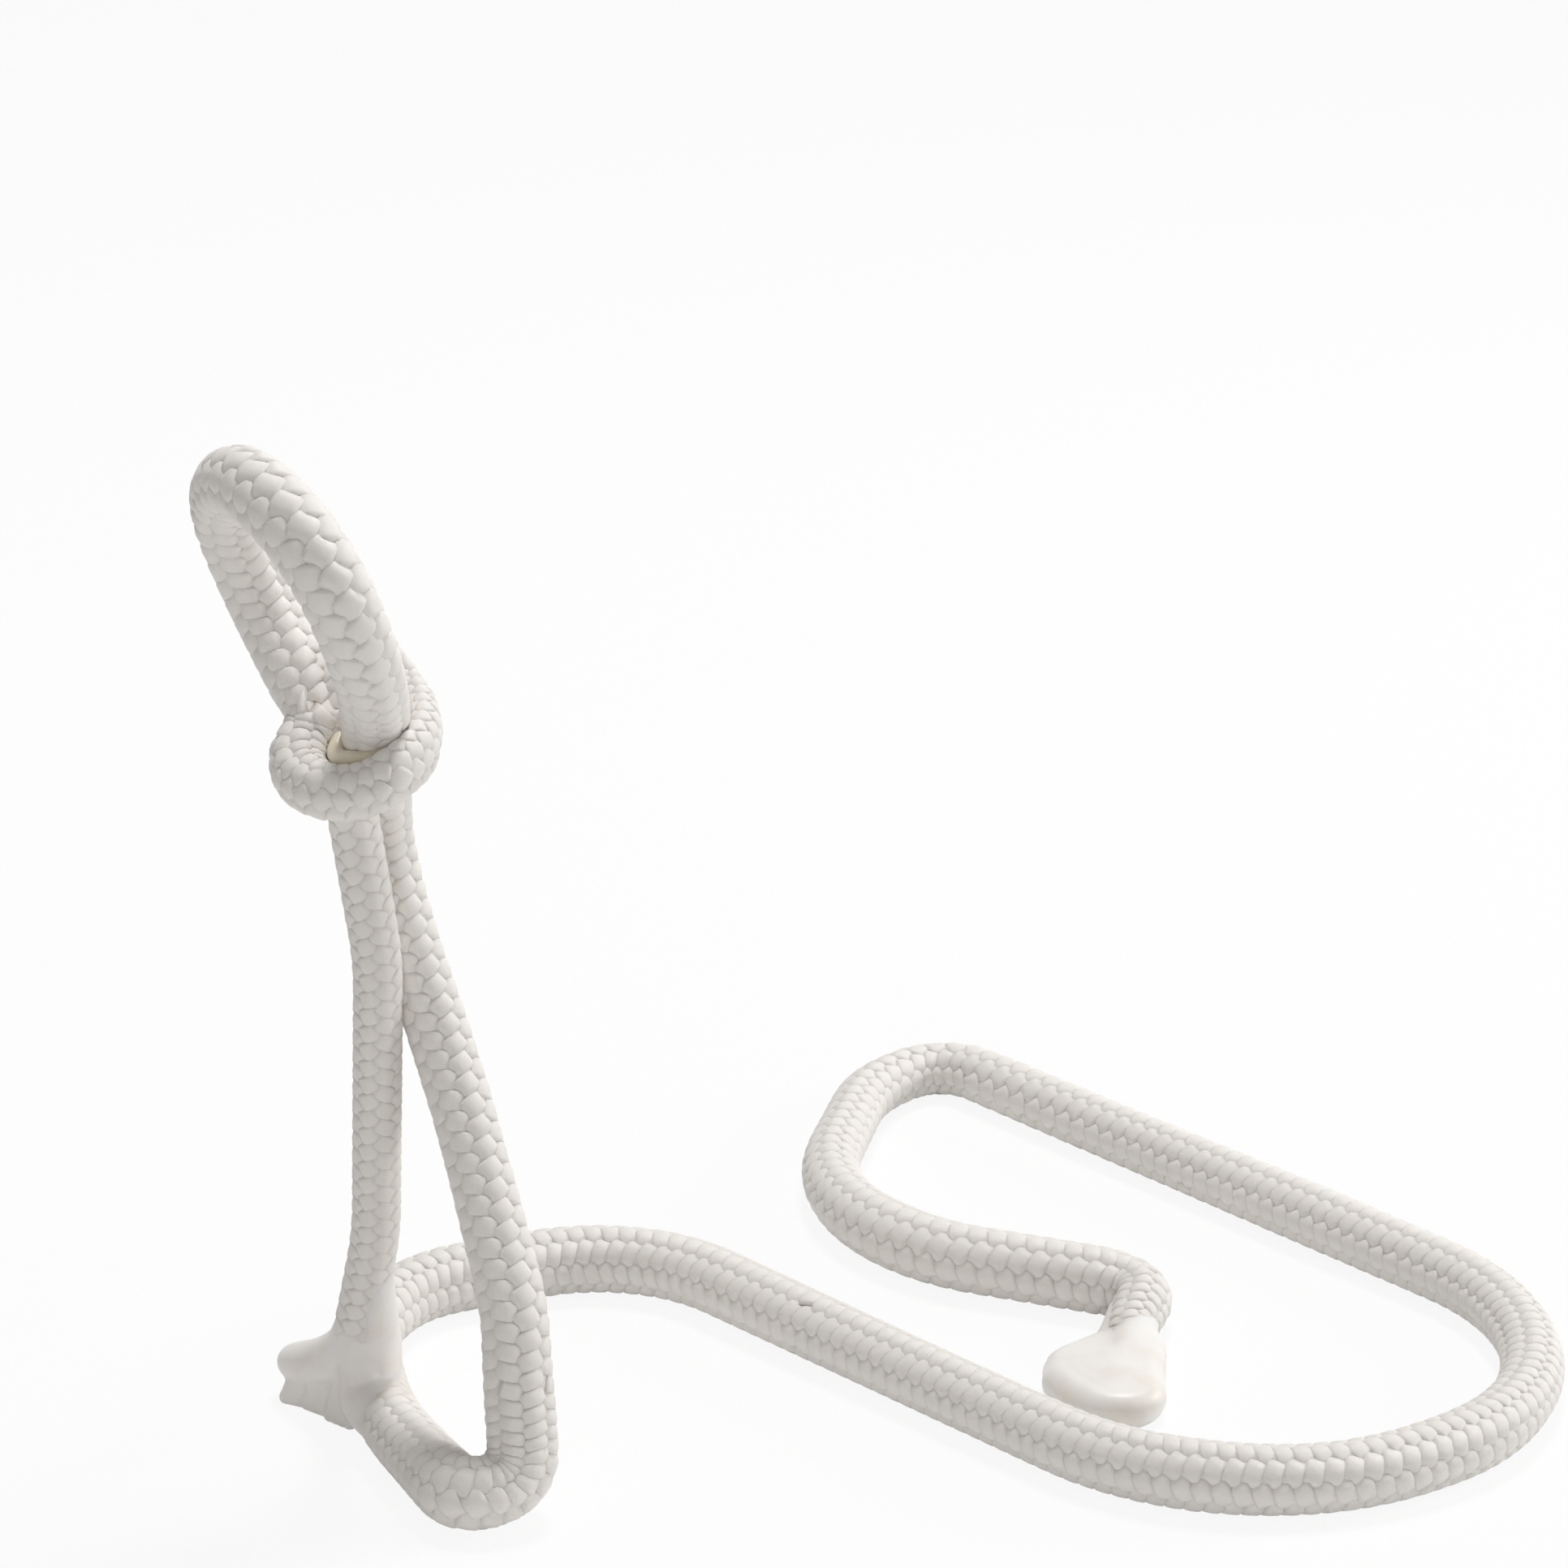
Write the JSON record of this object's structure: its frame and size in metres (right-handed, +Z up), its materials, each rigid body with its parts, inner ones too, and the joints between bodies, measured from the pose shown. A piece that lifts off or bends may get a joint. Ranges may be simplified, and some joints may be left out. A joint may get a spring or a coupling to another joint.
{
  "type": "bottle holder",
  "caption": "Free-standing bottle holder of white braided rope over a bent steel rod, with a flat looped base, a knotted riser and a noose for the bottle's neck.",
  "frame": {"origin": "on the floor, at the flat under the melted foot of the tail, close under the noose", "axes": "+X along the bottle, from the noose towards the bottle's bottom; +Y across the bottle, away from the riser's foot; +Z up"},
  "size_m": [0.2256, 0.2008, 0.1955],
  "materials": {
    "steel_rod": "satin",
    "braided_rope": "matt",
    "melted_rope": "waxy",
    "resin": "satin"
  },
  "bodies": {
    "root": {"core_rod": "steel_rod", "rope_far": "braided_rope", "rope_bow": "braided_rope", "rope_foot": "braided_rope", "rope_riser": "braided_rope", "rope_noose": "braided_rope", "rope_tail": "braided_rope", "tip_end": "melted_rope", "tail_foot": "melted_rope", "knot_wrap": "braided_rope", "knot_resin": "resin"}
  },
  "joints": []
}
